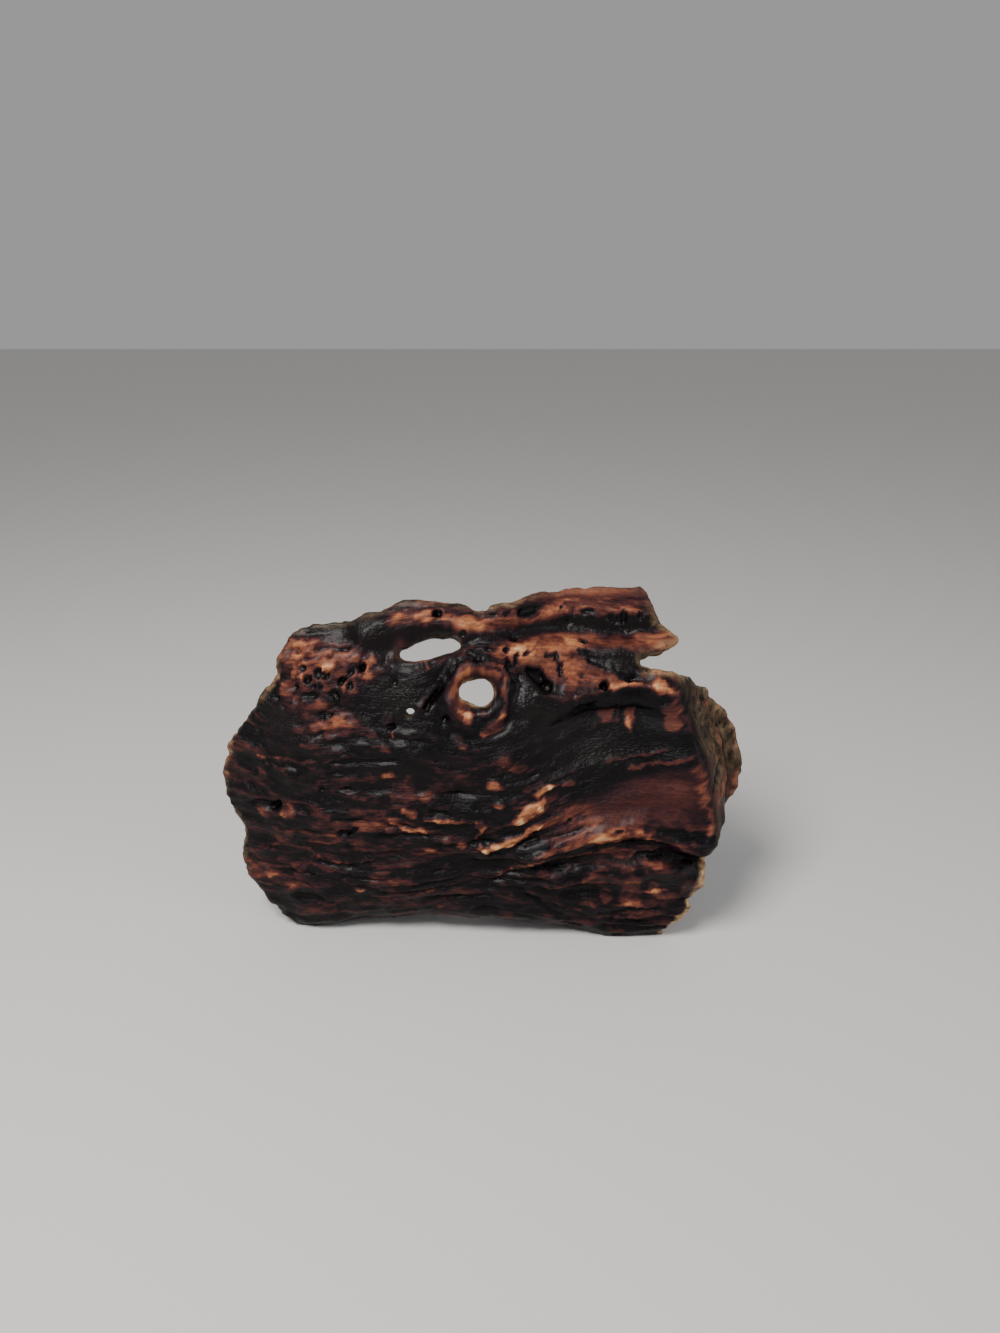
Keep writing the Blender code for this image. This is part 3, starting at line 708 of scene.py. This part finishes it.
def wood_tint(front, fine):
    """How far the dark skin is worn to brown wood, from 0 for black to 1 for pale orange, with painted shade
    under the ledge.
    """
    u = front.u
    v = front.v
    tint = BODY_TINT + layers(u, v, TINT_DRIFT)
    for spot in TINTS:
        tint = tint + spot[4] * blot(u, v, spot)
    tint = tint + WORN_TINT * front.worn_patch
    collar = COLLAR_TINT * blot(front.from_knot, 0.0, INNER_RING)
    tint = tint + collar * (0.6 + layers(u, v, COLLAR_STAINS))
    tint = tint - MOAT_SHADE * blot(front.from_knot, 0.0, DARK_RING)
    # Painted shade darkens the upper flank under the ledge
    tint = tint - PAINTED_LEDGE_SHADE * front.painted_ledge_shade
    tint = tint + PLEAT_TINT * front.turned * (front.pleat - 0.6)
    for spot in CHIPS:
        away = turned_distance(front.ragged_u, front.ragged_v, spot)
        tint = tint + CHIP_TINT * spot[6] * ramp(away, *CHIP_TINT_SIDE)
    for points, half_width, _, change in STROKES:
        away = distance_to_line(front.ragged_u, front.ragged_v, points)
        tint = tint + change * ramp(away / half_width, *STROKE_TINT_SIDE)
    for spot in PITS:
        away = turned_distance(front.bored_u, front.bored_v, spot)
        tint = tint - BORE_SHADE * ramp(away, *PIT_TINT_SIDE)
    return tint + HEIGHT_TINT * np.clip(fine, -2.5, 1.5) * (1.0 - front.smooth)


def dryness(front):
    """Where the wood is broken or crusted, dry and pale."""
    return sum(spot[4] * blot(front.u, front.v, spot) for spot in DRY)


def rim_wear(front, w):
    """1 on the rims between the two faces and on the front's broken edge, 0 on the faces."""
    to_edge = distance_to_line(front.ragged_u, front.ragged_v, OUTLINE + OUTLINE[:1])
    return np.maximum(ease((WALL / 2 - np.abs(w)) / RIM_WIDTH), ramp(to_edge, *RIM_ON_FRONT))


def linear(code):
    """A material colour from its sRGB hex code."""
    channels = [int(code[i:i + 2], 16) / 255 for i in (1, 3, 5)]
    return [c / 12.92 if c <= 0.04045 else ((c + 0.055) / 1.055) ** 2.4 for c in channels] + [1.0]


def add_node(tree, kind, links=(), **settings):
    """Adds a node. A setting that isn't one of the node's own sets the input of that name."""
    node = tree.nodes.new(kind)
    for name, value in settings.items():
        if hasattr(node, name):
            setattr(node, name, value)
        else:
            node.inputs[name.replace("_", " ")].default_value = value
    for place, source in links:
        tree.links.new(source, node.inputs[place])
    return node


def scaled_noise(tree, grain, stretch, detail):
    """Noise stretched along the grain: stretch is the size in millimetres of one bump along u, v and w."""
    scaled = add_node(tree, "ShaderNodeVectorMath", [(0, grain)], operation="MULTIPLY")
    scaled.inputs[1].default_value = [1.0 / size for size in stretch]
    links = [("Vector", scaled.outputs[0])]
    texture = add_node(tree, "ShaderNodeTexNoise", links, Scale=1.0, Detail=detail, Roughness=0.6)
    return texture.outputs["Fac"]


def times_plus(tree, value, factor, addend):
    """value * factor + addend; the factor and the addend may each be a number or an output."""
    node = add_node(tree, "ShaderNodeMath", [(0, value)], operation="MULTIPLY_ADD")
    for place, source in ((1, factor), (2, addend)):
        if isinstance(source, float):
            node.inputs[place].default_value = source
        else:
            tree.links.new(source, node.inputs[place])
    return node.outputs[0]


def blend(tree, factor, first, second):
    """A mix of two colours, each a hex code or an output."""
    node = add_node(tree, "ShaderNodeMix", [("Factor", factor)], data_type="RGBA")
    for place, source in ((6, first), (7, second)):
        if isinstance(source, str):
            node.inputs[place].default_value = linear(source)
        else:
            tree.links.new(source, node.inputs[place])
    return node.outputs[2]


def step(tree, value, start, end):
    """A smooth step of a value from 0 at start to 1 at end."""
    node = add_node(tree, "ShaderNodeMapRange", [("Value", value)], From_Min=start, From_Max=end)
    node.interpolation_type = "SMOOTHSTEP"
    return node.outputs[0]


def oiled_driftwood():
    """Conifer driftwood, its surface worn by water, blackened by age and oiled.

    The eye gets black skin worn through to red-brown and orange on the crests, a low sheen where the wood is
    smooth, and dull straw-coloured crumbs where it is broken.
    """
    material = bpy.data.materials.new("oiled_driftwood")
    material.use_nodes = True
    tree = material.node_tree
    shader = tree.nodes["Principled BSDF"]
    grain = add_node(tree, "ShaderNodeAttribute", attribute_name="grain").outputs["Vector"]
    tint = add_node(tree, "ShaderNodeAttribute", attribute_name="tint").outputs["Fac"]
    grey = add_node(tree, "ShaderNodeAttribute", attribute_name="grey").outputs["Fac"]
    dry = add_node(tree, "ShaderNodeAttribute", attribute_name="dry").outputs["Fac"]
    smooth = add_node(tree, "ShaderNodeAttribute", attribute_name="smooth").outputs["Fac"]
    patches = scaled_noise(tree, grain, WORN_SKIN, 6.0)
    fibres = scaled_noise(tree, grain, GROWTH_LINES, 4.0)
    specks = scaled_noise(tree, grain, SPECKS, 3.0)
    spread = times_plus(tree, patches, 1.0, -0.5)
    level = times_plus(tree, spread, times_plus(tree, smooth, -0.52, 0.74), tint)
    level = times_plus(tree, fibres, times_plus(tree, smooth, -0.14, 0.22), level)
    level = times_plus(tree, specks, 0.10, level)
    level = times_plus(tree, level, 1.0, -0.17)
    colours = add_node(tree, "ShaderNodeValToRGB", [("Fac", level)])
    while len(colours.color_ramp.elements) < len(WOOD_COLOURS):
        colours.color_ramp.elements.new(0.5)
    for element, (place, code) in zip(colours.color_ramp.elements, WOOD_COLOURS):
        element.position = place
        element.color = linear(code)
    # Smooth parts are greyer, and broken rims are dry, in crumbs of about 2 mm
    colour = blend(tree, times_plus(tree, grey, 0.6, 0.0), colours.outputs["Color"], "#1c1617")
    crumbs = step(tree, scaled_noise(tree, grain, CRUMBS, 5.0), 0.28, 0.72)
    crust = add_node(tree, "ShaderNodeMath", [(0, crumbs), (1, dry)], operation="MULTIPLY", use_clamp=True)
    straw = blend(tree, specks, "#6a4424", "#e0bf90")
    colour = blend(tree, crust.outputs[0], colour, straw)
    tree.links.new(colour, shader.inputs["Base Color"])
    rough = times_plus(tree, level, 0.30, 0.34)
    rough = times_plus(tree, grey, -0.08, rough)
    rough = times_plus(tree, crust.outputs[0], 0.25, rough)
    tree.links.new(rough, shader.inputs["Roughness"])
    relief = times_plus(tree, fibres, 0.5, specks)
    bump = add_node(tree, "ShaderNodeBump", [("Height", relief)], Strength=0.6, Distance=1.2 * MM)
    tree.links.new(bump.outputs[0], shader.inputs["Normal"])
    shader.inputs["IOR"].default_value = 1.48
    shader.inputs["Specular IOR Level"].default_value = 0.13
    shader.inputs["Coat Weight"].default_value = 0.07
    shader.inputs["Coat Roughness"].default_value = 0.20
    return material


def driftwood():
    """The whole piece: the blank is broken at its rims, carved on both faces, bent and coloured."""
    mesh = flat_blank()
    blank = vertex_array(mesh)
    w = blank[:, 2]
    u, v = broken_rim(blank[:, 0], blank[:, 1], w)
    front = Front(u, v)
    fine = fine_relief(front)
    places = bend(u, v, w, broad_relief(front) + fine, hollow_relief(u, v))
    places = places - [ORIGIN_X, ORIGIN_Y, 0.0]
    places[:, 2] = np.maximum(places[:, 2], 0.0)
    mesh.vertices.foreach_set("co", (places * MM).ravel())
    mesh.update()
    facing_front = ease(w / WALL + 0.9)
    rim = rim_wear(front, w)
    along = u + (v - u) * front.turned
    across = front.line + (u - front.line) * front.turned
    store(mesh, "grain", np.stack([along, across, w], axis=-1))
    store(mesh, "smooth", front.smooth * facing_front)
    dry = dryness(front) * np.maximum(rim, front.turned * TURNED_DRYNESS) + RIM_DRYNESS * rim
    tint = wood_tint(front, fine) * facing_front + HOLLOW_TINT * (1.0 - facing_front)
    store(mesh, "tint", tint + DRY_TINT * np.clip(dry, 0.0, 1.0))
    store(mesh, "grey", front.grey * facing_front)
    store(mesh, "dry", dry)
    mesh.name = "driftwood_wood"
    mesh.shade_smooth()
    mesh.materials.clear()
    mesh.materials.append(oiled_driftwood())
    piece = bpy.data.objects.new("driftwood_wood", mesh)
    bpy.context.collection.objects.link(piece)
    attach(piece, "root")
    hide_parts("driftwood")
    return piece


def area_light(name, place, target, size, power, colour):
    """A soft round light that faces its target."""
    light = bpy.data.lights.new(name, "AREA")
    light.shape = "DISK"
    light.size = size
    light.energy = power
    light.color = colour
    lamp = bpy.data.objects.new(name, light)
    bpy.context.collection.objects.link(lamp)
    lamp.location = place
    direction = np.array(target) - np.array(place)
    lamp.rotation_mode = "QUATERNION"
    lamp.rotation_quaternion = Vector(direction).to_track_quat("-Z", "Y")


def studio():
    """A plain pale floor, a pale surround and soft light from above and in front."""
    bpy.ops.mesh.primitive_plane_add(size=FLOOR_WIDTH, location=(0.0, 0.0, 0.0))
    floor = bpy.context.active_object
    floor.name = "floor"
    # Matt emulsion paint, which gives no mirror image of the wood
    paint = bpy.data.materials.new("pale_floor")
    paint.use_nodes = True
    paint.node_tree.nodes["Principled BSDF"].inputs["Base Color"].default_value = linear("#d9d7d3")
    paint.node_tree.nodes["Principled BSDF"].inputs["Roughness"].default_value = FLOOR_ROUGHNESS
    floor.data.materials.append(paint)
    world = bpy.data.worlds.new("surround")
    bpy.context.scene.world = world
    world.use_nodes = True
    background = world.node_tree.nodes["Background"]
    background.inputs["Color"].default_value = linear("#e4e4e6")
    background.inputs["Strength"].default_value = SURROUND_STRENGTH
    for light in LIGHTS:
        area_light(*light)


def camera():
    """The photograph's view, from above and in front."""
    lens = bpy.data.cameras.new("camera")
    lens.sensor_width = SENSOR
    lens.lens = SENSOR * FOCAL_PIXELS / PHOTO_HEIGHT_PIXELS
    eye = bpy.data.objects.new("camera", lens)
    bpy.context.collection.objects.link(eye)
    eye.location = EYE
    eye.rotation_euler = (np.radians(90.0 - LOOKS_DOWN), 0.0, 0.0)
    bpy.context.scene.camera = eye


camera()
studio()
driftwood()
